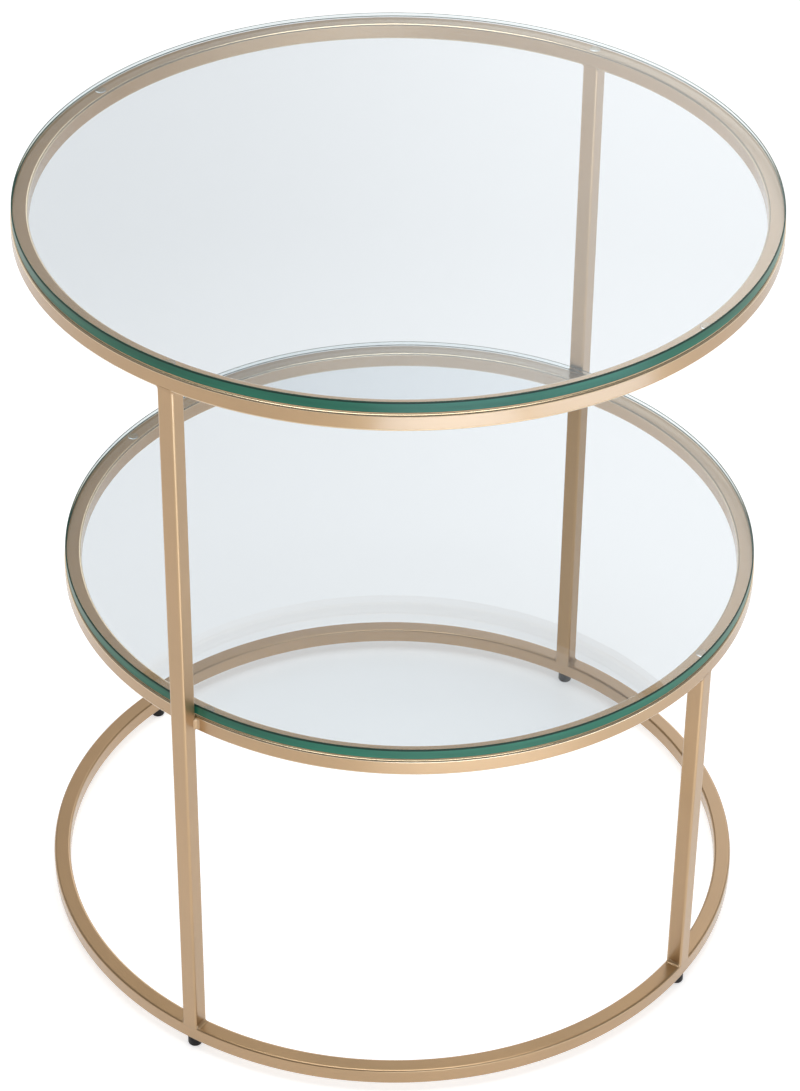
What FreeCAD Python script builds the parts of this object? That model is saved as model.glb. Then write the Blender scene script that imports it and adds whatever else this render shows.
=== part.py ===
import FreeCAD, Part
import math
import os
import Sketcher

# A tiered side table: three rolled rings and three posts of square steel tube,
# welded together, with two loose glass panes on clear bumpers and four screw-in
# feet.  Millimetres and degrees.  The origin is on the floor under the centre
# of the top and base rings, +Z is up, the tall posts stand on the X axis and
# the short post stands towards -Y.

SIZES = {
    # square tube of every ring and post
    "tube_side": 13.0,
    "tube_wall": 1.0,
    "tube_corner": 1.8,
    # frame: outside diameter of the top and base rings, posts, room for the feet
    "ring_diameter": 550.0,
    "tall_post_length": 578.0,
    "short_post_length": 284.0,
    "ground_clearance": 9.0,
    "vent_diameter": 5.0,
    # weld beads
    "post_weld_leg": 2.4,
    "shelf_weld_leg": 3.0,
    "weld_setback": 2.0,
    # glass panes
    "glass_thickness": 8.0,
    "glass_inset": 1.0,
    "glass_arris": 0.8,
    # clear bumpers between glass and ring
    "bumper_diameter": 8.0,
    "bumper_thickness": 1.0,
    "bumper_rounding": 0.2,
    "top_front_bumper_angle": -96.0,
    "lower_rear_bumper_angle": 93.0,
    # feet: glide and threaded stud
    "glide_diameter": 11.0,
    "glide_rounding": 1.6,
    "glide_gap": 0.3,
    "stud_grip": 5.5,
    "stud_chamfer": 0.5,
    "stud_headroom": 1.0,
    "rear_foot_angle": 83.0,
    # threaded inserts in the base ring
    "insert_bore": 5.0,
    "thread_clearance": 0.05,
    "insert_barrel": 7.0,
    "insert_flange": 9.5,
    "insert_flange_thickness": 0.6,
    "insert_bulge": 9.0,
    "insert_bulge_height": 1.5,
    "insert_length": 8.0,
    "insert_hole_clearance": 0.05,
}

# Places and levels that several sub-parts share, as spreadsheet expressions.
HALF_TUBE = "Sizes.tube_side / 2"
RING_RADIUS = "Sizes.ring_diameter / 2"
POST_REACH = "(Sizes.ring_diameter / 2 - Sizes.tube_side / 2)"
SHELF_RADIUS = "(Sizes.ring_diameter / 2 - Sizes.tube_side)"
SHELF_REACH = "(Sizes.ring_diameter / 2 - 1.5 * Sizes.tube_side)"
SHELF_SHIFT = "(-Sizes.tube_side)"
BASE_BOTTOM = "Sizes.ground_clearance"
BASE_TOP = "Sizes.ground_clearance + Sizes.tube_side"
SHELF_BOTTOM = f"{BASE_TOP} + Sizes.short_post_length"
SHELF_TOP = f"{SHELF_BOTTOM} + Sizes.tube_side"
TOP_BOTTOM = f"{BASE_TOP} + Sizes.tall_post_length"
TOP_TOP = f"{TOP_BOTTOM} + Sizes.tube_side"
STUD_DIAMETER = "(Sizes.insert_bore - 2 * Sizes.thread_clearance)"
GLIDE_HEIGHT = "(Sizes.ground_clearance - Sizes.insert_flange_thickness - Sizes.glide_gap)"
WELD_RUN = "Sizes.tube_side - 2 * Sizes.weld_setback"

LEFT, RIGHT, FRONT, REAR = "180", "0", "-90", "90"
FOOT_ANGLES = {
    "left": LEFT,
    "right": RIGHT,
    "front": FRONT,
    "rear": "Sizes.rear_foot_angle",
}
TOP_BUMPER_ANGLES = {
    "left": LEFT,
    "right": RIGHT,
    "front": "Sizes.top_front_bumper_angle",
    "rear": REAR,
}
LOWER_BUMPER_ANGLES = {
    "left": LEFT,
    "right": RIGHT,
    "front": FRONT,
    "rear": "Sizes.lower_rear_bumper_angle",
}

NEAR = 0.001  # how close an edge lies to the place that a rounding asks for


def around(reach, angle):
    """Place on a circle about the rings' centre, as two expressions."""
    return f"{reach} * cos({angle} * 1 deg)", f"{reach} * sin({angle} * 1 deg)"


def new_body(document, label, x="0", y="0", z="0", rotation=FreeCAD.Rotation()):
    """An empty body whose place follows three expressions."""
    body = document.addObject("PartDesign::Body", label)
    body.Label = label
    body.AllowCompound = True
    body.Placement = FreeCAD.Placement(FreeCAD.Vector(), rotation)
    for axis, expression in (("x", x), ("y", y), ("z", z)):
        body.setExpression(f"Placement.Base.{axis}", expression)
    return body


def new_sketch(body, name, plane):
    """A sketch on one of the body's own origin planes."""
    sketch = body.newObject("Sketcher::SketchObject", name)
    support = next(item for item in body.Origin.OriginFeatures if item.Role == plane)
    sketch.AttachmentSupport = [(support, "")]
    sketch.MapMode = "FlatFace"
    return sketch


def fix_point(sketch, curve, point, x, y):
    """Hold one point of a sketch curve at a place given by two expressions."""
    for kind, expression in (("DistanceX", x), ("DistanceY", y)):
        index = sketch.addConstraint(Sketcher.Constraint(kind, -1, 1, curve, point, 1.0))
        sketch.setExpression(f"Constraints[{index}]", expression)


def draw_outline(sketch, corners):
    """A closed outline whose corners are pairs of expressions."""
    count = len(corners)
    first = sketch.GeometryCount
    rough = [math.tau * index / count for index in range(count)]
    rough = [FreeCAD.Vector(math.cos(turn), math.sin(turn), 0) for turn in rough]
    for index in range(count):
        sketch.addGeometry(Part.LineSegment(rough[index], rough[(index + 1) % count]))
    for index, (x, y) in enumerate(corners):
        following = first + (index + 1) % count
        sketch.addConstraint(Sketcher.Constraint("Coincident", first + index, 2, following, 1))
        fix_point(sketch, first + index, 1, x, y)


def draw_square(sketch, half_side, x="0"):
    """A square about a point on the sketch's horizontal axis."""
    low, high = f"{x} - ({half_side})", f"{x} + ({half_side})"
    bottom, top = f"-({half_side})", f"{half_side}"
    draw_outline(sketch, [(low, bottom), (high, bottom), (high, top), (low, top)])


def draw_circle(sketch, diameter, x="0", y="0"):
    """A circle whose diameter and centre are expressions."""
    curve = sketch.addGeometry(Part.Circle(FreeCAD.Vector(), FreeCAD.Vector(0, 0, 1), 1.0))
    index = sketch.addConstraint(Sketcher.Constraint("Diameter", curve, 2.0))
    sketch.setExpression(f"Constraints[{index}]", diameter)
    fix_point(sketch, curve, 3, x, y)


def pad(body, sketch, length, symmetric=False):
    """Extrude a sketch, one way or both ways from its plane."""
    feature = body.newObject("PartDesign::Pad", f"{sketch.Name}_pad")
    feature.Profile = sketch
    feature.setExpression("Length", length)
    feature.SideType = "Symmetric" if symmetric else "One side"
    return feature


def pocket(body, sketch, length, upward=False):
    """Cut a sketch into the body, against its plane's normal or along it."""
    feature = body.newObject("PartDesign::Pocket", f"{sketch.Name}_pocket")
    feature.Profile = sketch
    feature.setExpression("Length", length)
    feature.Reversed = upward
    return feature


def revolve(body, sketch):
    """Turn a sketch fully round its own vertical axis."""
    feature = body.newObject("PartDesign::Revolution", f"{sketch.Name}_revolution")
    feature.Profile = sketch
    feature.ReferenceAxis = (sketch, ["V_Axis"])
    feature.Angle = 360.0
    return feature


def dress(body, kind, size_name, size, wanted):
    """Round or bevel the edges of the body's last feature that pass the test."""
    body.Document.recompute()
    base = body.Tip
    names = [f"Edge{number}" for number, edge in enumerate(base.Shape.Edges, 1) if wanted(edge)]
    feature = body.newObject(f"PartDesign::{kind}", f"{base.Name}_{kind}")
    feature.Base = (base, names)
    feature.setExpression(size_name, size)
    return feature


def is_rim(edge, height):
    """True for a whole circle at a given height in the body's own frame."""
    whole = isinstance(edge.Curve, Part.Circle) and edge.isClosed()
    return whole and abs(edge.CenterOfMass.z - height) < NEAR


def make_ring(document, label, reach, bottom, y="0", vents_up=(), vents_down=(), insert_angles=()):
    """Square tube rolled into a ring, with the holes that its joints need.

    The body's own frame lies in the middle of the tube, so the holes start
    inside it and leave through its top wall or its bottom wall.
    """
    body = new_body(document, label, y=y, z=f"{bottom} + {HALF_TUBE}")
    section = new_sketch(body, f"{label}_section", "XZ_Plane")
    draw_square(section, HALF_TUBE, reach)
    draw_square(section, f"{HALF_TUBE} - Sizes.tube_wall", reach)
    revolve(body, section)
    half = SIZES["tube_side"] / 2

    def is_corner(edge):
        return is_rim(edge, half) or is_rim(edge, -half)

    dress(body, "Fillet", "Radius", "Sizes.tube_corner", is_corner)
    holes = [
        ("vents_up", vents_up, "Sizes.vent_diameter", True),
        ("vents_down", vents_down, "Sizes.vent_diameter", False),
        ("insert_holes", insert_angles, "Sizes.insert_barrel + 2 * Sizes.insert_hole_clearance", False),
    ]
    for name, angles, diameter, upward in holes:
        if angles:
            sketch = new_sketch(body, f"{label}_{name}", "XY_Plane")
            for angle in angles:
                draw_circle(sketch, diameter, *around(reach, angle))
            pocket(body, sketch, "Sizes.tube_side", upward)
    return body


def make_post(document, label, angle, length):
    """Upright square tube, open at both ends, standing on the base ring."""
    x, y = around(POST_REACH, angle)
    body = new_body(document, label, x, y, BASE_TOP)
    section = new_sketch(body, f"{label}_section", "XY_Plane")
    draw_square(section, HALF_TUBE)
    draw_square(section, f"{HALF_TUBE} - Sizes.tube_wall")
    pad(body, section, length)
    corner = SIZES["tube_side"] / math.sqrt(2)

    def is_corner(edge):
        middle = edge.CenterOfMass
        return abs(math.hypot(middle.x, middle.y) - corner) < NEAR

    dress(body, "Fillet", "Radius", "Sizes.tube_corner", is_corner)
    return body


def make_post_weld(document, label, angle, level, underneath=False):
    """Two fillet beads, one on each side of a post where it meets a ring's face."""
    x, y = around(POST_REACH, angle)
    rotation = FreeCAD.Rotation(float(angle), 0, 180 if underneath else 0)
    body = new_body(document, label, x, y, level, rotation)
    section = new_sketch(body, f"{label}_section", "YZ_Plane")
    for sign in ("", "-"):
        face = f"{sign}({HALF_TUBE})"
        toe = f"{sign}({HALF_TUBE} + Sizes.post_weld_leg)"
        draw_outline(section, [(face, "0"), (toe, "0"), (face, "Sizes.post_weld_leg")])
    pad(body, section, WELD_RUN, symmetric=True)
    return body


def make_shelf_weld(document, label, sign):
    """Two upright beads between a tall post's sides and the lower ring's outside."""
    body = new_body(document, label, y="0", z=f"{SHELF_BOTTOM} + {HALF_TUBE}")
    section = new_sketch(body, f"{label}_section", "XY_Plane")
    toe = f"{sign}({SHELF_RADIUS} + Sizes.shelf_weld_leg)"
    face = f"{sign}{SHELF_RADIUS}"
    root = f"{sign}({SHELF_RADIUS} - Sizes.shelf_weld_leg)"
    for way in ("", "-"):
        near = f"{way}({HALF_TUBE})"
        far = f"{way}({HALF_TUBE} + Sizes.shelf_weld_leg)"
        draw_outline(section, [(toe, near), (face, far), (root, far), (root, near)])
    pad(body, section, WELD_RUN, symmetric=True)
    ring = new_sketch(body, f"{label}_ring", "XY_Plane")
    draw_circle(ring, f"2 * {SHELF_RADIUS}", y=SHELF_SHIFT)
    cut = pocket(body, ring, "2 * Sizes.tube_side")
    cut.SideType = "Symmetric"
    return body


def make_bumper(document, label, angle, reach, level, centre_y="0"):
    """Clear disc on a ring's top face, with a softened upper rim."""
    x, y = around(reach, angle)
    body = new_body(document, label, x, f"{y} + {centre_y}", level)
    disc = new_sketch(body, f"{label}_disc", "XY_Plane")
    draw_circle(disc, "Sizes.bumper_diameter")
    pad(body, disc, "Sizes.bumper_thickness")
    top = SIZES["bumper_thickness"]
    dress(body, "Fillet", "Radius", "Sizes.bumper_rounding", lambda edge: is_rim(edge, top))
    return body


def make_pane(document, label, ring_radius, level, y="0"):
    """Round glass pane with ground arrises, resting on the bumpers of its ring."""
    body = new_body(document, label, y=y, z=f"{level} + Sizes.bumper_thickness")
    disc = new_sketch(body, f"{label}_disc", "XY_Plane")
    draw_circle(disc, f"2 * ({ring_radius} - Sizes.glass_inset)")
    pad(body, disc, "Sizes.glass_thickness")
    top = SIZES["glass_thickness"]

    def is_arris(edge):
        return is_rim(edge, 0) or is_rim(edge, top)

    dress(body, "Chamfer", "Size", "Sizes.glass_arris", is_arris)
    return body


def make_glide(document, label, angle):
    """Round glide with a rounded sole and a socket that grips its stud."""
    x, y = around(POST_REACH, angle)
    body = new_body(document, label, x, y)
    disc = new_sketch(body, f"{label}_disc", "XY_Plane")
    draw_circle(disc, "Sizes.glide_diameter")
    pad(body, disc, GLIDE_HEIGHT)
    dress(body, "Fillet", "Radius", "Sizes.glide_rounding", lambda edge: is_rim(edge, 0))
    socket = new_sketch(body, f"{label}_socket", "XY_Plane")
    socket.setExpression("AttachmentOffset.Base.z", GLIDE_HEIGHT)
    draw_circle(socket, STUD_DIAMETER)
    pocket(body, socket, "Sizes.stud_grip")
    return body


def make_stud(document, label, angle):
    """Threaded stud, drawn as its plain shank, from the glide up into the ring."""
    x, y = around(POST_REACH, angle)
    foot = f"{GLIDE_HEIGHT} - Sizes.stud_grip"
    body = new_body(document, label, x, y, foot)
    shank = new_sketch(body, f"{label}_shank", "XY_Plane")
    draw_circle(shank, STUD_DIAMETER)
    length = f"{BASE_TOP} - Sizes.tube_wall - Sizes.stud_headroom - ({foot})"
    rod = pad(body, shank, length)
    document.recompute()
    top = rod.Length.Value
    dress(body, "Chamfer", "Size", "Sizes.stud_chamfer", lambda edge: is_rim(edge, top))
    return body


def make_insert(document, label, angle):
    """Threaded insert: flange under the ring's bottom wall, barrel through it
    and the bulge that clinches it from inside."""
    x, y = around(POST_REACH, angle)
    body = new_body(document, label, x, y, BASE_BOTTOM)
    bore, barrel = "Sizes.insert_bore / 2", "Sizes.insert_barrel / 2"
    flange, bulge = "Sizes.insert_flange / 2", "Sizes.insert_bulge / 2"
    bulge_top = "Sizes.tube_wall + Sizes.insert_bulge_height"
    outline = [
        (bore, "-Sizes.insert_flange_thickness"),
        (flange, "-Sizes.insert_flange_thickness"),
        (flange, "0"),
        (barrel, "0"),
        (barrel, "Sizes.tube_wall"),
        (bulge, "Sizes.tube_wall"),
        (bulge, bulge_top),
        (barrel, bulge_top),
        (barrel, "Sizes.insert_length"),
        (bore, "Sizes.insert_length"),
    ]
    section = new_sketch(body, f"{label}_section", "XZ_Plane")
    draw_outline(section, outline)
    revolve(body, section)
    return body


def make_sizes(document):
    """The driving dimensions, one row each with its name as the alias."""
    sheet = document.addObject("Spreadsheet::Sheet", "Sizes")
    for row, (name, number) in enumerate(SIZES.items(), 1):
        sheet.set(f"A{row}", name)
        sheet.set(f"B{row}", str(number))
        sheet.setAlias(f"B{row}", name)
    document.recompute()


def make_frame(document):
    """Rings, posts and the welds that join them."""
    insert_angles = list(FOOT_ANGLES.values())
    yield make_ring(document, "base_ring", POST_REACH, BASE_BOTTOM,
                    vents_up=(LEFT, RIGHT, FRONT), insert_angles=insert_angles)
    yield make_ring(document, "lower_ring", SHELF_REACH, SHELF_BOTTOM, SHELF_SHIFT, vents_down=(FRONT,))
    yield make_ring(document, "top_ring", POST_REACH, TOP_BOTTOM, vents_down=(LEFT, RIGHT))
    yield make_post(document, "left_post", LEFT, "Sizes.tall_post_length")
    yield make_post(document, "right_post", RIGHT, "Sizes.tall_post_length")
    yield make_post(document, "short_post", FRONT, "Sizes.short_post_length")
    heads = {"left": (LEFT, TOP_BOTTOM), "right": (RIGHT, TOP_BOTTOM), "short": (FRONT, SHELF_BOTTOM)}
    for name, (angle, head) in heads.items():
        yield make_post_weld(document, f"{name}_post_foot_weld", angle, BASE_TOP)
        yield make_post_weld(document, f"{name}_post_head_weld", angle, head, underneath=True)
    yield make_shelf_weld(document, "left_shelf_weld", "-")
    yield make_shelf_weld(document, "right_shelf_weld", "")


def make_tiers(document):
    """Bumpers and glass panes of both tiers."""
    for place, angle in TOP_BUMPER_ANGLES.items():
        yield make_bumper(document, f"top_{place}_bumper", angle, POST_REACH, TOP_TOP)
    for place, angle in LOWER_BUMPER_ANGLES.items():
        yield make_bumper(document, f"lower_{place}_bumper", angle, SHELF_REACH, SHELF_TOP, SHELF_SHIFT)
    yield make_pane(document, "top_glass", RING_RADIUS, TOP_TOP)
    yield make_pane(document, "lower_glass", SHELF_RADIUS, SHELF_TOP, SHELF_SHIFT)


def make_feet(document):
    """A glide, a stud and an insert at each foot."""
    for place, angle in FOOT_ANGLES.items():
        yield make_glide(document, f"{place}_glide", angle)
        yield make_stud(document, f"{place}_stud", angle)
        yield make_insert(document, f"{place}_insert", angle)


def check(document, bodies):
    """Stop if any object failed or any sub-part has no sound shape."""
    for item in document.Objects:
        if "Invalid" in item.State or "Error" in item.State:
            raise RuntimeError(f"{item.Label} failed: {item.State}")
    for body in bodies:
        if body.Shape.isNull() or not body.Shape.isValid() or not body.Shape.Solids:
            raise RuntimeError(f"{body.Label} has no sound shape")


def main():
    document = FreeCAD.newDocument("tiered_side_table")
    make_sizes(document)
    bodies = [*make_frame(document), *make_tiers(document), *make_feet(document)]
    document.recompute()
    check(document, bodies)
    os.makedirs("parts", exist_ok=True)
    for body in bodies:
        body.Shape.exportStep(f"parts/{body.Label}.step")


main()
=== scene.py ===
"""Looks of a round tiered side table: satin gold tube, loose clear glass and screw-in feet.

Every piece is built in metres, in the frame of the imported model: the origin is on the
floor under the rings' centre, +Z is up, the tall posts stand on the X axis and the
short post stands towards -Y.  Sizes come from the model's own nodes wherever it has them.
"""

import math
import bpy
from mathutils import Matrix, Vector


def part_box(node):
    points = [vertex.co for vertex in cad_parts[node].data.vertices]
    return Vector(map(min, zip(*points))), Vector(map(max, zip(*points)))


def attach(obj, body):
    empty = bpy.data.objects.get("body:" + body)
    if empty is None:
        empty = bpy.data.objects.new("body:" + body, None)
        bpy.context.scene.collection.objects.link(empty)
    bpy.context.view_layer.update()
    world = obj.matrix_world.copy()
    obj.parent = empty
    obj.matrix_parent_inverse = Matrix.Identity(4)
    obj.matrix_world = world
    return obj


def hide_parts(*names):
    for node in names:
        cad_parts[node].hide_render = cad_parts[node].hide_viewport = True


bl_info = {
    "name": "Tiered Side Table",
    "version": (1, 0, 0),
    "blender": (4, 5, 0),
    "location": "View3D > Sidebar > Side Table",
    "description": "Dresses a round tiered side table in satin gold tube and clear glass",
    "category": "Object",
}

import bpy
import numpy as np
from bpy.props import FloatProperty, FloatVectorProperty, PointerProperty
from bpy.types import Operator, Panel, PropertyGroup
from mathutils import Euler, Matrix, Vector

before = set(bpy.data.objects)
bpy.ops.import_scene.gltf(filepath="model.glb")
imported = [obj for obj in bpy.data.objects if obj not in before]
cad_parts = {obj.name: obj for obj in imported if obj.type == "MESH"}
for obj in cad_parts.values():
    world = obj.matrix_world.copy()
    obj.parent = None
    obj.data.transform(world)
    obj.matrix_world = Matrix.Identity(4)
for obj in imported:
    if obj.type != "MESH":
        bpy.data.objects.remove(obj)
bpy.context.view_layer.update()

MM = 0.001

RINGS = ("base_ring", "lower_ring", "top_ring")
POSTS = ("left_post", "right_post", "short_post")
SIDES = ("left", "right", "front", "rear")
TIERS = ("top", "lower")

RING_STEPS = 480
ARC_STEPS = 8
FLAT_SUPPORTS = (0.03, 0.35, 0.65, 0.97)
BUMPER_CLEAR = 0.02 * MM


def span(node):
    """Lowest corner, highest corner and middle of a node of the model."""
    low, high = (np.array(corner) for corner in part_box(node))
    return low, high, (low + high) / 2


TUBE_SIDE = float(span("top_ring")[1][2] - span("top_ring")[0][2])
POST_REACH = float(span("right_post")[2][0])
GLASS_THICKNESS = float(span("top_glass")[1][2] - span("top_glass")[0][2])


class TubeSettings(PropertyGroup):
    """Sizes and finish of the square tube and its welds."""

    corner: FloatProperty(
        name="Corner Radius",
        description="Outer radius of the tube's rounded edges",
        default=1.8 * MM,
        unit="LENGTH",
    )
    fillet: FloatProperty(
        name="Post Weld",
        description="Leg of the fillet where a post meets a ring",
        default=2.4 * MM,
        unit="LENGTH",
    )
    shelf_fillet: FloatProperty(
        name="Shelf Weld",
        description="Leg of the upright beads between a tall post and the lower ring",
        default=3.0 * MM,
        unit="LENGTH",
    )
    colour: FloatVectorProperty(
        name="Plating",
        description="Colour of the satin gold plating",
        default=(0.5, 0.32, 0.16),
        subtype="COLOR",
        min=0.0,
        max=1.0,
    )
    roughness: FloatProperty(
        name="Satin",
        description="How matt the plating is, from mirror to dull",
        default=0.48,
        min=0.0,
        max=1.0,
        subtype="FACTOR",
    )


class GlassSettings(PropertyGroup):
    """Edge work and colours of the panes."""

    # The rim and the arris take the dark arris colour: partly a real seamed edge, partly painted shade for
    # the dark lines along the glass edge.
    rim: FloatProperty(
        name="Rim Width",
        description="Width of the seamed band on each face beside the arris",
        default=0.6 * MM,
        unit="LENGTH",
    )
    arris: FloatProperty(
        name="Arris",
        description="Depth of the small round-over at the edge of each face",
        default=0.4 * MM,
        unit="LENGTH",
    )
    # Painted shade: a band of the dark arris colour along the top of the polished edge, for the dark line
    # seen there.
    seam: FloatProperty(
        name="Dark Seam",
        description="Height of the dark line along the top of the polished edge",
        default=0.7 * MM,
        unit="LENGTH",
    )
    tint: FloatVectorProperty(
        name="Tint",
        description="Colour of white light after it has passed through the pane",
        default=(0.77, 0.81, 0.84),
        subtype="COLOR",
        min=0.0,
        max=1.0,
    )
    edge: FloatVectorProperty(
        name="Edge Green",
        description="Colour of the polished edge, seen through the depth of the glass",
        default=(0.03, 0.215, 0.13),
        subtype="COLOR",
        min=0.0,
        max=1.0,
    )
    # The arris colour is partly a seamed edge's own colour and partly painted shade, darkened for the
    # lines along the glass edge.
    line: FloatVectorProperty(
        name="Arris Line",
        description="Colour of the seamed line beside each arris",
        default=(0.015, 0.055, 0.038),
        subtype="COLOR",
        min=0.0,
        max=1.0,
    )


class FootSettings(PropertyGroup):
    """Shape and colour of the feet."""

    sole_rounding: FloatProperty(
        name="Sole Rounding",
        description="Radius between the side of a glide and its sole",
        default=1.6 * MM,
        unit="LENGTH",
    )
    thread_pitch: FloatProperty(
        name="Thread Pitch",
        description="Rise of the stud's thread in one turn",
        default=0.8 * MM,
        unit="LENGTH",
    )
    thread_depth: FloatProperty(
        name="Thread Depth",
        description="Depth of the stud's thread",
        default=0.45 * MM,
        unit="LENGTH",
    )
    colour: FloatVectorProperty(
        name="Black",
        description="Colour of the moulded glides",
        default=(0.008, 0.008, 0.009),
        subtype="COLOR",
        min=0.0,
        max=1.0,
    )


class StudioSettings(PropertyGroup):
    """Strengths of the soft studio light."""

    ambient: FloatProperty(
        name="Ambient",
        description="Brightness of the studio's walls",
        default=0.24,
        min=0.0,
    )
    window: FloatProperty(
        name="Window",
        description="Brightness of the soft light patch that the glass mirrors",
        default=1.85,
        min=0.0,
    )
    overhead: FloatProperty(
        name="Overhead Softbox",
        description="Power of the softbox above the table",
        default=24.0,
        min=0.0,
        unit="POWER",
    )
    front: FloatProperty(
        name="Front Panels",
        description="Power of each low light panel in front of the table",
        default=1.6,
        min=0.0,
        unit="POWER",
    )


# ---------------------------------------------------------------- meshes


def wrapped(count, closed):
    """Indices of a row of cells and of their neighbours, the last joined to the first if closed."""
    here = np.arange(count if closed else count - 1)
    return here, (here + 1) % count


def surface(name, points, lengths=None, closed=(True, True), capped=False, edges=None, ends=False):
    """Mesh of a grid of points, shape (rows, columns, 3), as quads that face rows x columns.

    Rows and columns may each close on themselves.  With capped, the first and last
    columns are filled by flat faces, and with ends the first and last rows.  The UV map
    holds the lengths in metres that each
    row and column has come along, so a pattern can follow the surface.  The attribute
    "edge" tells how far each point lies on a rounded edge, from 0 to 1.
    """
    rows, columns = points.shape[:2]
    row, next_row = wrapped(rows, closed[0])
    column, next_column = wrapped(columns, closed[1])
    corners = [
        row[:, None] * columns + column,
        next_row[:, None] * columns + column,
        next_row[:, None] * columns + next_column,
        row[:, None] * columns + next_column,
    ]
    faces = np.stack(corners, -1).reshape(-1, 4).tolist()
    caps = []
    if capped:
        ring = np.arange(rows) * columns
        caps = [ring[::-1].tolist(), (ring + columns - 1).tolist()]
    if ends:
        row_points = np.arange(columns)
        caps = [row_points.tolist(), (row_points[::-1] + (rows - 1) * columns).tolist()]
    mesh = bpy.data.meshes.new(name)
    mesh.from_pydata(points.reshape(-1, 3).tolist(), [], faces + caps)
    along, across = lengths or (np.arange(rows + 1) * MM, np.arange(columns + 1) * MM)
    near, far = np.meshgrid(along[:-1][row], across[:-1][column], indexing="ij"), np.meshgrid(
        along[1:][row], across[1:][column], indexing="ij"
    )
    quads = np.stack(
        [near[0], near[1], far[0], near[1], far[0], far[1], near[0], far[1]], -1
    ).reshape(-1)
    flat = points.reshape(-1, 3)[np.array(sum(caps, []), dtype=int)][:, :2].reshape(-1)
    mesh.uv_layers.new(name="lengths").data.foreach_set("uv", np.concatenate([quads, flat]))
    smooth = np.ones(len(mesh.polygons), dtype=bool)
    if caps:
        smooth[-2:] = False
    mesh.polygons.foreach_set("use_smooth", smooth)
    on_edge = np.zeros((rows, columns)) if edges is None else np.broadcast_to(edges, (rows, columns))
    # The edge share also sets the gold finish's painted highlight, which shows where it passes one half.
    mesh.attributes.new("edge", "FLOAT", "POINT").data.foreach_set("value", on_edge.ravel())
    mesh.validate()
    piece = bpy.data.objects.new(name, mesh)
    bpy.context.scene.collection.objects.link(piece)
    return piece


def path_lengths(points, closed):
    """Length come along a path at each point, and back at its start if it is closed."""
    ends = np.roll(points, -1, axis=0) if closed else np.vstack([points[1:], points[-1:]])
    return np.concatenate([[0.0], np.cumsum(np.linalg.norm(ends - points, axis=-1))])


def rounded_square(side, corner):
    """Outline of a square with round corners, anticlockwise, as points (across, up).

    Each quarter is an arc, corner radius times cosine and sine about the corner's
    centre, and then the flat that follows it, with points close to its ends that keep
    the flat's shading flat.  The other quarters are the first one turned by right angles.
    """
    half = side / 2 - corner
    turns = np.linspace(0, math.pi / 2, ARC_STEPS + 1)
    arc = np.stack([half + corner * np.cos(turns), half + corner * np.sin(turns)], 1)
    share = np.array(FLAT_SUPPORTS)
    flat = np.stack([half - 2 * half * share, np.full(len(share), side / 2)], 1)
    quarter = np.vstack([arc, flat])
    turn = np.array([[0.0, 1.0], [-1.0, 0.0]])
    return np.vstack([quarter @ np.linalg.matrix_power(turn, k) for k in range(4)])


def supported(low, high, steps=12, near=0.2 * MM):
    """Levels from low to high, with one close to each end that keeps the shading straight."""
    return np.concatenate([[low], np.linspace(low + near, high - near, steps), [high]])


def on_arcs():
    """1 for each point of a rounded square that lies inside an arc and 0 for the others."""
    inside = np.sin(np.linspace(0, math.pi, ARC_STEPS + 1)) > 0.3
    return np.tile(np.concatenate([inside, np.zeros(len(FLAT_SUPPORTS))]), 4).astype(float)


def carried_round(outline, centre, reach, level, start=math.pi):
    """Grid of an outline (outward, up) carried round a circle about an upright axis."""
    turns = start + np.arange(RING_STEPS) * math.tau / RING_STEPS
    radius = reach + outline[:, 0]
    x = centre[0] + np.cos(turns)[:, None] * radius
    y = centre[1] + np.sin(turns)[:, None] * radius
    z = np.broadcast_to(level + outline[:, 1], x.shape)
    return np.stack([x, y, z], -1)


def turned(profile, centre, steps=64):
    """Grid of a profile (radius, height) turned about an upright axis through centre."""
    turns = np.arange(steps) * math.tau / steps
    x = centre[0] + np.cos(turns)[:, None] * profile[:, 0]
    y = centre[1] + np.sin(turns)[:, None] * profile[:, 0]
    z = np.broadcast_to(profile[:, 1], x.shape)
    return np.stack([x, y, z], -1)


def round_over(start, end, bulge, steps=5):
    """Curved stretch of a profile: a quadratic curve from start to end that bends towards bulge."""
    share = np.linspace(0, 1, steps)[:, None]
    start, end, bulge = (np.array(point, dtype=float) for point in (start, end, bulge))
    return (1 - share) ** 2 * start + 2 * share * (1 - share) * bulge + share**2 * end


def place_piece(piece, body, slot, materials, *nodes):
    """Dress a finished piece, tie it to its body and let it stand for its nodes."""
    for material in materials:
        piece.data.materials.append(material)
    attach(piece, body)
    if nodes:
        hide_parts(*nodes)
    return piece


# ------------------------------------------------------------- materials


def add(tree, kind, inputs=None, **settings):
    """New node with its settings; each input is a number, a colour or another node's output."""
    node = tree.nodes.new(kind)
    for name, value in settings.items():
        setattr(node, name, value)
    for name, value in (inputs or {}).items():
        if isinstance(value, bpy.types.NodeSocket):
            tree.links.new(value, node.inputs[name])
        else:
            node.inputs[name].default_value = value
    return node


def math_node(tree, operation, first, second=0.0):
    """Output of one arithmetic step."""
    return add(tree, "ShaderNodeMath", {0: first, 1: second}, operation=operation).outputs[0]


def scaled(tree, value, share):
    """Output of a value times a number."""
    return math_node(tree, "MULTIPLY", value, share)


def new_material(name):
    """Empty node material and its tree."""
    material = bpy.data.materials.new(name)
    material.use_nodes = True
    material.node_tree.nodes.clear()
    return material, material.node_tree


def finish_material(tree, shader):
    """Send a shader to the material's output."""
    add(tree, "ShaderNodeOutputMaterial", {"Surface": shader})


def ramp(tree, factor, low, high, colour_low, colour_high):
    """Colour that goes from one to the other as factor goes from low to high."""
    node = add(tree, "ShaderNodeValToRGB", {"Fac": factor})
    node.color_ramp.elements[0].position = low
    node.color_ramp.elements[0].color = (*colour_low, 1.0)
    node.color_ramp.elements[1].position = high
    node.color_ramp.elements[1].color = (*colour_high, 1.0)
    return node.outputs["Color"]


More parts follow.
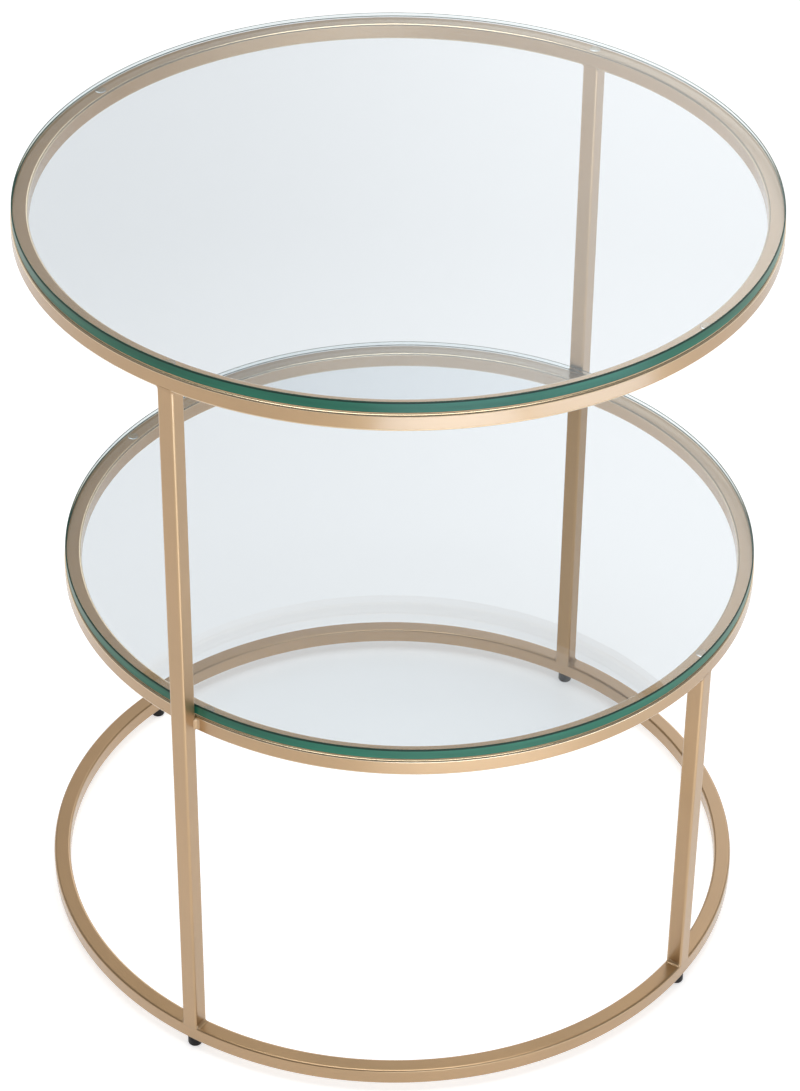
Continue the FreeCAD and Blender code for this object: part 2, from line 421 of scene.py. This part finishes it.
def gold_finish():
    """Satin gold plating: fine brushing along the tube, a soft grain and slow tone changes, with a painted
    highlight of paler gold on the rounded edges of the top and lower rings.
    """
    tube = bpy.context.scene.side_table_tube
    material, tree = new_material("satin_gold")
    place = add(tree, "ShaderNodeTexCoord")
    stretch = add(
        tree, "ShaderNodeMapping", {"Vector": place.outputs["UV"], "Scale": (14.0, 1400.0, 1.0)}
    )
    brushing = add(
        tree,
        "ShaderNodeTexNoise",
        {"Vector": stretch.outputs[0], "Scale": 1.0, "Detail": 3.0, "Roughness": 0.6},
    ).outputs["Fac"]
    grain = add(
        tree,
        "ShaderNodeTexNoise",
        {"Vector": place.outputs["Object"], "Scale": 1800.0, "Detail": 2.0},
    ).outputs["Fac"]
    tone = add(
        tree,
        "ShaderNodeTexNoise",
        {"Vector": place.outputs["Object"], "Scale": 14.0, "Detail": 3.0, "Roughness": 0.55},
    ).outputs["Fac"]
    deep = tuple(part * 0.93 for part in tube.colour)
    pale = tuple(min(1.0, part * 1.05) for part in tube.colour)
    colour = ramp(tree, tone, 0.3, 0.7, deep, pale)
    spread = add(
        tree,
        "ShaderNodeMapRange",
        {
            "Value": math_node(tree, "ADD", brushing, tone),
            "From Min": 0.6,
            "From Max": 1.4,
            "To Min": tube.roughness - 0.06,
            "To Max": tube.roughness + 0.06,
        },
    ).outputs[0]
    edge = add(tree, "ShaderNodeAttribute", attribute_name="edge").outputs["Fac"]
    # Painted highlight: past one half of the edge attribute a paler gold is mixed in, standing in for the
    # bright line that the rings' rounded edges catch.
    painted_highlight = add(tree, "ShaderNodeMapRange", {"Value": edge, "From Min": 0.5}).outputs[0]
    colour = add(
        tree, "ShaderNodeMix", {0: painted_highlight, 6: colour, 7: (0.7, 0.55, 0.36, 1.0)}, data_type="RGBA"
    ).outputs[2]
    spread = math_node(tree, "MULTIPLY", spread, math_node(tree, "SUBTRACT", 1.0, scaled(tree, edge, 0.5)))
    height = math_node(tree, "ADD", brushing, math_node(tree, "MULTIPLY", grain, 0.6))
    bump = add(
        tree, "ShaderNodeBump", {"Height": height, "Strength": 0.12, "Distance": 0.06 * MM}
    ).outputs[0]
    shader = add(
        tree,
        "ShaderNodeBsdfPrincipled",
        {
            "Base Color": colour,
            "Metallic": 1.0,
            "Roughness": spread,
            "Normal": bump,
            "Coat Weight": 1.0,
            "Coat IOR": 1.6,
            "Coat Roughness": 0.2,
        },
    )
    finish_material(tree, shader.outputs[0])
    return material


def clear_finish(name, tint, roughness=0.0):
    """Clear glass or plastic that bends what is seen through it and lets light pass straight."""
    material, tree = new_material(name)
    solid = add(
        tree,
        "ShaderNodeBsdfPrincipled",
        {
            "Base Color": (*tint, 1.0),
            "Roughness": roughness,
            "IOR": 1.52,
            "Transmission Weight": 1.0,
        },
    )
    open_air = add(tree, "ShaderNodeBsdfTransparent", {"Color": (0.94, 0.95, 0.95, 1.0)})
    path = add(tree, "ShaderNodeLightPath").outputs
    seen = math_node(tree, "MAXIMUM", path["Is Camera Ray"], path["Is Transmission Ray"])
    seen = math_node(tree, "MAXIMUM", seen, path["Is Singular Ray"])
    mixed = add(
        tree, "ShaderNodeMixShader", {0: seen, 1: open_air.outputs[0], 2: solid.outputs[0]}
    )
    finish_material(tree, mixed.outputs[0])
    return material


def edge_finish():
    """Polished green edge of a pane; from inside the glass it is clear."""
    glass = bpy.context.scene.side_table_glass
    material, tree = new_material("glass_edge")
    place = add(tree, "ShaderNodeTexCoord")
    stretch = add(
        tree, "ShaderNodeMapping", {"Vector": place.outputs["UV"], "Scale": (9.0, 160.0, 1.0)}
    )
    streaks = add(
        tree,
        "ShaderNodeTexNoise",
        {"Vector": stretch.outputs[0], "Scale": 1.0, "Detail": 3.0, "Roughness": 0.5},
    ).outputs["Fac"]
    deep = tuple(part * 0.8 for part in glass.edge)
    bright = tuple(min(1.0, part * 1.25) for part in glass.edge)
    colour = ramp(tree, streaks, 0.3, 0.7, deep, bright)
    outside = add(
        tree,
        "ShaderNodeBsdfPrincipled",
        {"Base Color": colour, "Roughness": 0.3, "Specular IOR Level": 0.3},
    )
    inside = add(tree, "ShaderNodeBsdfTransparent", {"Color": (0.93, 0.97, 0.96, 1.0)})
    geometry = add(tree, "ShaderNodeNewGeometry")
    mixed = add(
        tree,
        "ShaderNodeMixShader",
        {0: geometry.outputs["Backfacing"], 1: outside.outputs[0], 2: inside.outputs[0]},
    )
    finish_material(tree, lit_through(tree, mixed.outputs[0]))
    return material


def lit_through(tree, shader):
    """The shader to look at, and green light let through on its way to other pieces."""
    path = add(tree, "ShaderNodeLightPath").outputs
    veil = add(tree, "ShaderNodeBsdfTransparent", {"Color": (0.75, 0.92, 0.86, 1.0)})
    mixed = add(
        tree, "ShaderNodeMixShader", {0: path["Is Shadow Ray"], 1: shader, 2: veil.outputs[0]}
    )
    return mixed.outputs[0]


def arris_and_painted_shade_finish():
    """Seamed edge of each face of a pane with a soft gloss, coloured dark as painted shade for the dark
    lines along the glass edge.
    """
    glass = bpy.context.scene.side_table_glass
    material, tree = new_material("glass_arris")
    place = add(tree, "ShaderNodeTexCoord")
    grinding = add(
        tree,
        "ShaderNodeTexNoise",
        {"Vector": place.outputs["Object"], "Scale": 900.0, "Detail": 2.0},
    ).outputs["Fac"]
    deep = tuple(part * 0.75 for part in glass.line)
    bright = tuple(min(1.0, part * 1.3) for part in glass.line)
    shader = add(
        tree,
        "ShaderNodeBsdfPrincipled",
        {
            "Base Color": ramp(tree, grinding, 0.3, 0.7, deep, bright),
            "Roughness": 0.28,
            "Specular IOR Level": 0.2,
        },
    )
    finish_material(tree, lit_through(tree, shader.outputs[0]))
    return material


def glide_finish():
    """Black moulded plastic with a faint spark-eroded grain."""
    foot = bpy.context.scene.side_table_foot
    material, tree = new_material("black_plastic")
    place = add(tree, "ShaderNodeTexCoord")
    grain = add(
        tree,
        "ShaderNodeTexNoise",
        {"Vector": place.outputs["Object"], "Scale": 1600.0, "Detail": 3.0},
    ).outputs["Fac"]
    worn = tuple(part * 1.6 for part in foot.colour)
    bump = add(
        tree, "ShaderNodeBump", {"Height": grain, "Strength": 0.3, "Distance": 0.05 * MM}
    ).outputs[0]
    shader = add(
        tree,
        "ShaderNodeBsdfPrincipled",
        {
            "Base Color": ramp(tree, grain, 0.35, 0.75, tuple(foot.colour), worn),
            "Roughness": 0.4,
            "Specular IOR Level": 0.25,
            "Normal": bump,
        },
    )
    finish_material(tree, shader.outputs[0])
    return material


def zinc_finish():
    """Bright zinc plating with a faint mottle."""
    material, tree = new_material("zinc_plate")
    place = add(tree, "ShaderNodeTexCoord")
    mottle = add(
        tree,
        "ShaderNodeTexNoise",
        {"Vector": place.outputs["Object"], "Scale": 700.0, "Detail": 3.0},
    ).outputs["Fac"]
    shader = add(
        tree,
        "ShaderNodeBsdfPrincipled",
        {
            "Base Color": ramp(tree, mottle, 0.3, 0.7, (0.5, 0.51, 0.53), (0.62, 0.63, 0.64)),
            "Metallic": 1.0,
            "Roughness": 0.32,
        },
    )
    finish_material(tree, shader.outputs[0])
    return material


def finish_named(name, make, *details):
    """The finish of that name, made the first time that it is wanted."""
    return bpy.data.materials.get(name) or make(*details)


def gold():
    return finish_named("satin_gold", gold_finish)


# ---------------------------------------------------------------- pieces


class SIDETABLE_OT_rings(Operator):
    """Carry the tube's outline round the base, lower and top rings."""

    bl_idname = "sidetable.rings"
    bl_label = "Rings"

    def execute(self, context):
        tube = context.scene.side_table_tube
        outline = rounded_square(TUBE_SIDE, tube.corner)
        for node in RINGS:
            low, high, middle = span(node)
            reach = float(high[0] - low[0] - TUBE_SIDE) / 2
            centre = (float(low[0] + high[0]) / 2, float(low[1]) + reach + TUBE_SIDE / 2)
            points = carried_round(outline, centre, reach, float(middle[2]))
            lengths = (
                np.arange(RING_STEPS + 1) * math.tau * reach / RING_STEPS,
                path_lengths(outline, closed=True),
            )
            # Edge strength per ring: the base ring's half keeps its edges smoother but free of the painted
            # highlight, which the top and lower rings' edges carry in full.
            shine = 0.5 if node == "base_ring" else 1.0
            ring = surface(f"{node}_tube", points, lengths, edges=on_arcs() * shine)
            place_piece(ring, "frame", "gold_steel", [gold()], node)
        return {"FINISHED"}


class SIDETABLE_OT_posts(Operator):
    """Raise the tube's outline between the rings as three hollow posts."""

    bl_idname = "sidetable.posts"
    bl_label = "Posts"

    def execute(self, context):
        tube = context.scene.side_table_tube
        wall = 1.0 * MM
        outer = rounded_square(TUBE_SIDE, tube.corner)
        inner = outer * (1 - 2 * wall / TUBE_SIDE)
        for node in POSTS:
            low, high, middle = span(node)
            height = supported(low[2], high[2])
            rise = np.concatenate([height, height[::-1]])
            skin = np.concatenate([np.ones(len(height)), np.zeros(len(height))])
            across = outer[:, None] * skin[:, None] + inner[:, None] * (1 - skin[:, None])
            x = middle[0] + across[..., 0]
            y = middle[1] + across[..., 1]
            z = np.broadcast_to(rise, x.shape)
            points = np.stack([x, y, z], -1)
            path = np.stack([skin * wall, rise], 1)
            lengths = (path_lengths(outer, closed=True), path_lengths(path, closed=True))
            # Posts' edges at half strength: smoother there, without the painted highlight.
            post = surface(f"{node}_tube", points, lengths, edges=on_arcs()[:, None] * skin * 0.5)
            flip_lengths(post)
            place_piece(post, "frame", "gold_steel", [gold()], node)
        return {"FINISHED"}


def flip_lengths(piece):
    """Swap the two directions of a piece's UV map, so that the brushing runs along its length."""
    data = piece.data.uv_layers["lengths"].data
    values = np.empty(len(data) * 2, dtype=np.float32)
    data.foreach_get("uv", values)
    data.foreach_set("uv", values.reshape(-1, 2)[:, ::-1].reshape(-1))


def weld_collar(name, angle, level, way, ring_reach, leg, corner):
    """Fillet round a post's end where it meets a ring's face.

    The first parameter goes round the post's outline, the second round the bead's
    section.  The bead leaves the post's wall one leg from the ring, bends through the
    root and lands on the ring one leg out.  Both legs fade with the square of how far
    the wall faces sideways, so on the outer and inner faces the bead only fills the
    groove over the ring's rounded edge, flush with both.  way is 1 for a ring above
    the post's end and -1 for one below it.
    """
    outline = rounded_square(TUBE_SIDE, corner)
    ahead, behind = np.roll(outline, -1, axis=0), np.roll(outline, 1, axis=0)
    tangent = ahead - behind
    normal = np.stack([tangent[:, 1], -tangent[:, 0]], 1)
    normal /= np.linalg.norm(normal, axis=1)[:, None]
    sideways = normal[:, 1] ** 2
    half = TUBE_SIDE / 2

    def on_ring(outward, along):
        """Place on the ring's face or rounded edge at a distance out and along."""
        offset = np.hypot(ring_reach + outward, along) - ring_reach
        offset = np.clip(offset, -half, half)
        outward = np.sqrt((ring_reach + offset) ** 2 - along**2) - ring_reach
        past = np.clip(np.abs(offset) - (half - corner), 0, corner)
        rise = corner - np.sqrt(corner**2 - past**2)
        return np.stack([outward, along, rise], 1)

    wall = np.stack([outline[:, 0], outline[:, 1], -leg * sideways], 1)
    root = np.stack([outline[:, 0], outline[:, 1], np.zeros(len(outline))], 1)
    landing = on_ring(outline[:, 0], outline[:, 1] + leg * sideways * np.sign(normal[:, 1]))
    share = np.linspace(0, 1, 9)[None, :, None]
    curve = (1 - share) ** 2 * wall[:, None] + 2 * share * (1 - share) * root[:, None]
    curve = curve + share**2 * landing[:, None]
    depth = 0.4 * MM
    back = root.copy()
    back[:, :2] -= normal * depth
    back[:, 2] += depth
    section = np.concatenate([curve, back[:, None]], axis=1)
    outward = POST_REACH + section[..., 0]
    along = section[..., 1]
    x = math.cos(angle) * outward - math.sin(angle) * along
    y = math.sin(angle) * outward + math.cos(angle) * along
    z = level + way * section[..., 2]
    points = np.stack([x, y, z], -1)
    if way < 0:
        points = points[:, ::-1]
    return surface(name, points)


def shelf_bead(sign, way, radius, shift, level, leg):
    """Grid of an upright bead in the corner between a tall post's side and the lower ring.

    The section leaves the post's side one leg out from the ring, sags towards the
    corner in a quadratic curve, lands on the ring one leg beyond the post and closes
    inside both.  Carried up the ring's face, both legs shrink towards the ends by the
    fourth root of one minus the fourth power of the height's share.
    """
    half = TUBE_SIDE / 2
    rise = np.linspace(-1, 1, 21)
    grown = leg * np.maximum(1 - rise**4, 0.02) ** 0.25

    def on_ring(beyond):
        """Place on the ring's outside at a distance beyond the post's side."""
        along = half + beyond
        return np.stack([np.sqrt(radius**2 - (way * along + shift) ** 2), along], -1)

    inner_face = POST_REACH - half
    start = np.stack([inner_face + grown, np.full(len(rise), half)], -1)
    corner = np.broadcast_to(on_ring(0.0), start.shape)
    end = on_ring(grown)
    bulge = 0.7 * corner + 0.15 * (start + end)
    share = np.linspace(0, 1, 9)[None, :, None]
    curve = (1 - share) ** 2 * start[:, None] + 2 * share * (1 - share) * bulge[:, None]
    curve = curve + share**2 * end[:, None]
    depth = 0.4 * MM
    behind = [end - (depth, 0), corner - depth, start - (0, depth)]
    section = np.concatenate([curve, np.stack(behind, 1)], axis=1)
    x = sign * section[..., 0]
    y = way * section[..., 1]
    z = np.broadcast_to((level + rise * (half - 1.3 * MM))[:, None], x.shape)
    points = np.stack([x, y, z], -1)
    return points if sign * way < 0 else points[:, ::-1]


class SIDETABLE_OT_welds(Operator):
    """Lay the post and shelf welds."""

    bl_idname = "sidetable.welds"
    bl_label = "Welds"

    def execute(self, context):
        tube = context.scene.side_table_tube
        floor_level = float(span("base_ring")[1][2])
        shift = float(-span("lower_ring")[2][1])
        joints = {
            "left": (math.pi, "top_ring", POST_REACH),
            "right": (0.0, "top_ring", POST_REACH),
            "short": (-math.pi / 2, "lower_ring", POST_REACH - shift),
        }
        for side, (angle, head, reach) in joints.items():
            head_level = float(span(head)[0][2])
            for end, level, way, ring_reach in (
                ("foot", floor_level, -1, POST_REACH),
                ("head", head_level, 1, reach),
            ):
                node = f"{side}_post_{end}_weld"
                collar = weld_collar(
                    f"{node}_bead", angle, level, way, ring_reach, tube.fillet, tube.corner
                )
                place_piece(collar, "frame", "gold_steel", [gold()], node)
        low, high, middle = span("lower_ring")
        radius = float(high[0] - low[0]) / 2
        for side, sign in (("left", -1), ("right", 1)):
            for face, way in (("front", -1), ("rear", 1)):
                points = shelf_bead(sign, way, radius, shift, float(middle[2]), tube.shelf_fillet)
                bead = surface(
                    f"{side}_shelf_weld_{face}_bead", points, closed=(False, True), ends=True
                )
                place_piece(bead, "frame", "gold_steel", [gold()], f"{side}_shelf_weld")
        return {"FINISHED"}


def pane_profile(radius, bottom, top, rim, arris, seam):
    """Profile (radius, height) of a pane from its lower face round to its upper face.

    Each face ends in a flat rim, then a quarter round to the upright edge, which has
    a row of points where a band of painted shade, in the dark arris colour, starts under its top.
    """
    inner, edge = radius - arris - rim, radius - arris
    lower = round_over((edge, bottom), (radius, bottom + arris), (radius, bottom))
    upper = round_over((radius, top - arris), (edge, top), (radius, top))
    foot, head = bottom + arris, top - arris
    levels = (foot + 0.1 * MM, (foot + head) / 2, head - seam, head - 0.1 * MM)
    side = np.stack([np.full(len(levels), radius), levels], 1)
    return np.vstack([[[inner, bottom]], lower, side, upper, [[inner, top]]])


class SIDETABLE_OT_glass(Operator):
    """Turn the two panes, with a green edge and a seamed arris that is darkened as painted shade."""

    bl_idname = "sidetable.glass"
    bl_label = "Glass"

    def execute(self, context):
        glass = context.scene.side_table_glass
        clear = finish_named("pane_glass", clear_finish, "pane_glass", tuple(glass.tint))
        edge = finish_named("glass_edge", edge_finish)
        arris = finish_named("glass_arris", arris_and_painted_shade_finish)
        for tier in TIERS:
            node = f"{tier}_glass"
            low, high, middle = span(node)
            radius = float(high[0] - low[0]) / 2
            centre = (float(middle[0]), float(low[1]) + radius)
            profile = pane_profile(radius, low[2], high[2], glass.rim, glass.arris, glass.seam)
            points = turned(profile, centre, RING_STEPS)
            lengths = (
                np.arange(RING_STEPS + 1) * math.tau * radius / RING_STEPS,
                path_lengths(profile, closed=False),
            )
            pane = surface(f"{node}_pane", points, lengths, closed=(True, False), capped=True)
            # Faces outside the polished stretch take the dark arris colour: the arris, the rim and, under
            # the top of the edge, a band of painted shade.
            height = (profile[:-1, 1] + profile[1:, 1]) / 2
            polished = height > low[2] + glass.arris
            polished &= height < high[2] - glass.arris - glass.seam
            slots = np.tile(np.where(polished, 1, 2), RING_STEPS)
            pane.data.polygons.foreach_set("material_index", np.append(slots, [0, 0]))
            place_piece(pane, node, "clear_glass", [clear, edge, arris], node)
        return {"FINISHED"}


class SIDETABLE_OT_bumpers(Operator):
    """Turn the clear bumpers between the panes and the rings."""

    bl_idname = "sidetable.bumpers"
    bl_label = "Bumpers"

    def execute(self, context):
        clear = finish_named(
            "soft_plastic", clear_finish, "soft_plastic", (0.9, 0.93, 0.93), 0.12
        )
        for tier in TIERS:
            for side in SIDES:
                node = f"{tier}_{side}_bumper"
                low, high, middle = span(node)
                low[2] += BUMPER_CLEAR
                high[2] -= BUMPER_CLEAR
                radius = float(high[0] - low[0]) / 2
                rounding = 0.25 * MM
                top = round_over(
                    (radius, high[2] - rounding), (radius - rounding, high[2]), (radius, high[2])
                )
                foot = np.array([[radius - rounding, low[2]], [radius, low[2] + rounding / 2]])
                inner = np.array([[radius * 0.6, high[2]]])
                profile = np.vstack([foot, top, inner])
                points = turned(profile, middle, 48)
                disc = surface(f"{node}_disc", points, closed=(True, False), capped=True)
                place_piece(disc, "frame", "clear_bumper", [clear], node)
        return {"FINISHED"}


def threaded(low, high, middle, pitch, depth, chamfer=0.5 * MM, steps=40):
    """Grid of a threaded shank between two levels.

    The radius falls from the crest by the thread's depth times a trapezium wave of the
    height over the pitch less the turn over a full turn, and is cut by a chamfer at
    both ends.
    """
    radius = float(high[0] - low[0]) / 2
    rise = np.linspace(low[2], high[2], int((high[2] - low[2]) / pitch * 10))
    turns = np.arange(steps) * math.tau / steps
    phase = (rise / pitch - turns[:, None] / math.tau) % 1.0
    wave = np.clip((np.abs(2 * phase - 1) - 0.12) / 0.76, 0, 1)
    reach = radius - depth * wave
    reach = np.minimum(reach, radius - chamfer + np.minimum(rise - low[2], high[2] - rise))
    x = middle[0] + np.cos(turns)[:, None] * reach
    y = middle[1] + np.sin(turns)[:, None] * reach
    return np.stack([x, y, np.broadcast_to(rise, x.shape)], -1)


class SIDETABLE_OT_feet(Operator):
    """Turn the glides, cut the studs' threads and plate the inserts."""

    bl_idname = "sidetable.feet"
    bl_label = "Feet"

    def execute(self, context):
        foot = context.scene.side_table_foot
        black = finish_named("black_plastic", glide_finish)
        zinc = finish_named("zinc_plate", zinc_finish)
        for side in SIDES:
            low, high, middle = span(f"{side}_glide")
            stud_span = span(f"{side}_stud")
            radius = float(high[0] - low[0]) / 2
            stud = float(stud_span[1][0] - stud_span[0][0]) / 2
            rounding = foot.sole_rounding
            sole = np.array([[0.3 * radius, low[2]], [radius - rounding - 0.2 * MM, low[2]]])
            shoulder = round_over(
                (radius - rounding, low[2]), (radius, low[2] + rounding), (radius, low[2])
            )
            lip = round_over(
                (radius, high[2] - 0.4 * MM), (radius - 0.4 * MM, high[2]), (radius, high[2])
            )
            top = np.array([[stud * 1.05, high[2]]])
            profile = np.vstack([sole, shoulder, lip, top])
            points = turned(profile, middle, 64)
            glide = surface(f"{side}_glide_cap", points, closed=(True, False), capped=True)
            place_piece(glide, f"{side}_foot", "black_glide", [black], f"{side}_glide")
            points = threaded(*stud_span, foot.thread_pitch, foot.thread_depth)
            shank = surface(f"{side}_stud_thread", points, closed=(True, False), capped=True)
            place_piece(shank, f"{side}_foot", "zinc_steel", [zinc], f"{side}_stud")
            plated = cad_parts[f"{side}_insert"]
            plated.data.materials.clear()
            plated.data.materials.append(zinc)
        return {"FINISHED"}


class SIDETABLE_OT_stage(Operator):
    """Set the floor, the studio light and the camera."""

    bl_idname = "sidetable.stage"
    bl_label = "Stage"

    def execute(self, context):
        make_floor()
        make_world(context.scene)
        make_lamps(context.scene)
        make_camera(context.scene)
        context.scene.view_settings.view_transform = "Standard"
        return {"FINISHED"}


FLOOR_HALF = 7.0


def make_floor():
    """Pale floor that reads white and keeps the table's shadow."""
    mesh = bpy.data.meshes.new("floor")
    half = FLOOR_HALF
    corners = [(-half, -half, 0), (half, -half, 0), (half, half, 0), (-half, half, 0)]
    mesh.from_pydata(corners, [], [(0, 1, 2, 3)])
    floor = bpy.data.objects.new("floor", mesh)
    bpy.context.scene.collection.objects.link(floor)
    material, tree = new_material("pale_floor")
    path = add(tree, "ShaderNodeLightPath").outputs
    seen = math_node(tree, "MAXIMUM", path["Is Camera Ray"], path["Is Transmission Ray"])
    seen = math_node(tree, "MAXIMUM", seen, path["Is Glossy Ray"])
    place = add(tree, "ShaderNodeTexCoord").outputs["Object"]
    reach = add(tree, "ShaderNodeVectorMath", {0: place}, operation="LENGTH").outputs["Value"]
    white = add(
        tree,
        "ShaderNodeMapRange",
        {"Value": reach, "From Min": 1.0, "From Max": 3.0, "To Min": 0.45, "To Max": 0.85},
    ).outputs[0]
    strength = math_node(tree, "MULTIPLY", seen, white)
    strength = math_node(tree, "ADD", strength, scaled(tree, path["Is Camera Ray"], 0.17))
    matt = add(tree, "ShaderNodeBsdfDiffuse", {"Color": (0.8, 0.8, 0.8, 1.0)})
    lift = add(tree, "ShaderNodeEmission", {"Strength": strength})
    both = add(tree, "ShaderNodeAddShader", {0: matt.outputs[0], 1: lift.outputs[0]})
    finish_material(tree, both.outputs[0])
    mesh.materials.append(material)


def direction(azimuth, elevation):
    """Unit vector towards an azimuth, anticlockwise from +X, and an elevation, in degrees."""
    turn, rise = math.radians(azimuth), math.radians(elevation)
    return Vector(
        (math.cos(turn) * math.cos(rise), math.sin(turn) * math.cos(rise), math.sin(rise))
    )


def make_world(scene):
    """White backdrop for the view, and a soft grey room with one bright patch for the light."""
    studio = scene.side_table_studio
    world = bpy.data.worlds.new("studio")
    scene.world = world
    world.use_nodes = True
    tree = world.node_tree
    tree.nodes.clear()
    way = add(tree, "ShaderNodeTexCoord").outputs["Generated"]

    def towards(azimuth, elevation):
        node = add(
            tree,
            "ShaderNodeVectorMath",
            {0: way, 1: direction(azimuth, elevation)},
            operation="DOT_PRODUCT",
        )
        return node.outputs["Value"]

    def step(value, start, end):
        node = add(
            tree,
            "ShaderNodeMapRange",
            {"Value": value, "From Min": start, "From Max": end},
            interpolation_type="SMOOTHSTEP",
        )
        return node.outputs[0]

    across, up = towards(-56.0, 0.0), towards(0.0, 90.0)
    patch = math_node(tree, "MULTIPLY", step(across, -0.12, 0.12), step(across, 0.55, 0.25))
    patch = math_node(tree, "MULTIPLY", patch, step(up, 0.2, 0.4))
    patch = math_node(tree, "MULTIPLY", patch, step(up, 0.8, 0.55))
    patch = math_node(tree, "MULTIPLY", patch, step(towards(34.0, 0.0), 0.0, 0.3))
    patch = math_node(tree, "MULTIPLY", patch, studio.window)
    walls = add(
        tree,
        "ShaderNodeMapRange",
        {
            "Value": towards(20.0, 20.0),
            "From Min": -1.0,
            "From Max": 1.0,
            "To Min": studio.ambient * 0.8,
            "To Max": studio.ambient * 1.4,
        },
    ).outputs[0]
    sweep = math_node(tree, "MULTIPLY", step(towards(34.0, 0.0), 0.2, 0.6), step(up, 0.42, 0.3))
    room = math_node(tree, "ADD", math_node(tree, "ADD", walls, patch), scaled(tree, sweep, 0.64))
    path = add(tree, "ShaderNodeLightPath").outputs
    low = math_node(tree, "MULTIPLY", step(up, 0.42, 0.3), path["Is Singular Ray"])
    room = math_node(tree, "MAXIMUM", room, low)
    seen = math_node(tree, "MAXIMUM", path["Is Camera Ray"], path["Is Transmission Ray"])
    strength = add(
        tree, "ShaderNodeMix", {"Factor": seen, "A": room, "B": 1.0}, data_type="FLOAT"
    ).outputs[0]
    back = add(
        tree, "ShaderNodeBackground", {"Color": (1.0, 1.0, 1.0, 1.0), "Strength": strength}
    )
    add(tree, "ShaderNodeOutputWorld", {"Surface": back.outputs[0]})


DAYLIGHT = (0.75, 0.95, 1.2)


def make_lamps(scene):
    """One softbox over the table and two low daylight panels in front of it."""
    studio = scene.side_table_studio
    middle, high = Vector((0.0, 0.0, 0.6)), Vector((0.0, 0.0, 1.35))
    above = middle + direction(-146.0, 86.0) * 1.6
    white = (1.0, 1.0, 1.0)
    lamps = {
        "overhead": (above, middle, (1.5, 1.5), studio.overhead, white),
        "front_left_panel": ((-0.69, -0.75, 0.13), high, (0.65, 0.17), studio.front * 1.05, DAYLIGHT),
        "front_panel": ((-0.08, -1.03, 0.13), high, (0.65, 0.17), studio.front * 0.79, DAYLIGHT),
        "low_panel": ((-0.38, -0.48, 0.03), middle, (0.6, 0.2), studio.front * 0.25, white),
    }
    for name, (place, aim, size, power, colour) in lamps.items():
        light = bpy.data.lights.new(name, "AREA")
        light.shape = "RECTANGLE"
        light.size, light.size_y = size
        light.energy = power
        light.color = colour
        lamp = bpy.data.objects.new(name, light)
        lamp.location = place
        lamp.rotation_euler = (Vector(place) - aim).to_track_quat("Z", "Y").to_euler()
        lamp.visible_camera = False
        lamp.visible_transmission = False
        scene.collection.objects.link(lamp)


CAMERA_PLACE = Vector((-1.6954, -1.1343, 1.7943))
CAMERA_AIM = Vector((0.0, -0.0044, 0.311))
CAMERA_ROLL = math.radians(0.607)
CAMERA_LENS = 108.79


def make_camera(scene):
    """Camera with a long lens, looking down at the table from the front left."""
    camera = bpy.data.cameras.new("camera")
    camera.lens = CAMERA_LENS
    camera.clip_end = 40.0
    eye = bpy.data.objects.new("camera", camera)
    look = (CAMERA_AIM - CAMERA_PLACE).to_track_quat("-Z", "Y").to_matrix().to_4x4()
    eye.matrix_world = Matrix.Translation(CAMERA_PLACE) @ look @ Matrix.Rotation(CAMERA_ROLL, 4, "Z")
    scene.collection.objects.link(eye)
    scene.camera = eye


class SIDETABLE_PT_main(Panel):
    """Steps that dress the table."""

    bl_idname = "SIDETABLE_PT_main"
    bl_label = "Side Table"
    bl_space_type = "VIEW_3D"
    bl_region_type = "UI"
    bl_category = "Side Table"

    def draw(self, context):
        for operator in OPERATORS:
            self.layout.operator(operator.bl_idname)
        for name in SETTINGS:
            group = getattr(context.scene, name)
            for prop in group.__annotations__:
                self.layout.prop(group, prop)


OPERATORS = (
    SIDETABLE_OT_rings,
    SIDETABLE_OT_posts,
    SIDETABLE_OT_welds,
    SIDETABLE_OT_glass,
    SIDETABLE_OT_bumpers,
    SIDETABLE_OT_feet,
    SIDETABLE_OT_stage,
)
SETTINGS = {
    "side_table_tube": TubeSettings,
    "side_table_glass": GlassSettings,
    "side_table_foot": FootSettings,
    "side_table_studio": StudioSettings,
}
CLASSES = (*SETTINGS.values(), *OPERATORS, SIDETABLE_PT_main)


def register():
    for item in CLASSES:
        bpy.utils.register_class(item)
    for name, group in SETTINGS.items():
        setattr(bpy.types.Scene, name, PointerProperty(type=group))


def unregister():
    for name in SETTINGS:
        delattr(bpy.types.Scene, name)
    for item in reversed(CLASSES):
        bpy.utils.unregister_class(item)


def main():
    register()
    for operator in OPERATORS:
        group, name = operator.bl_idname.split(".")
        getattr(getattr(bpy.ops, group), name)()


if __name__ == "__main__":
    main()
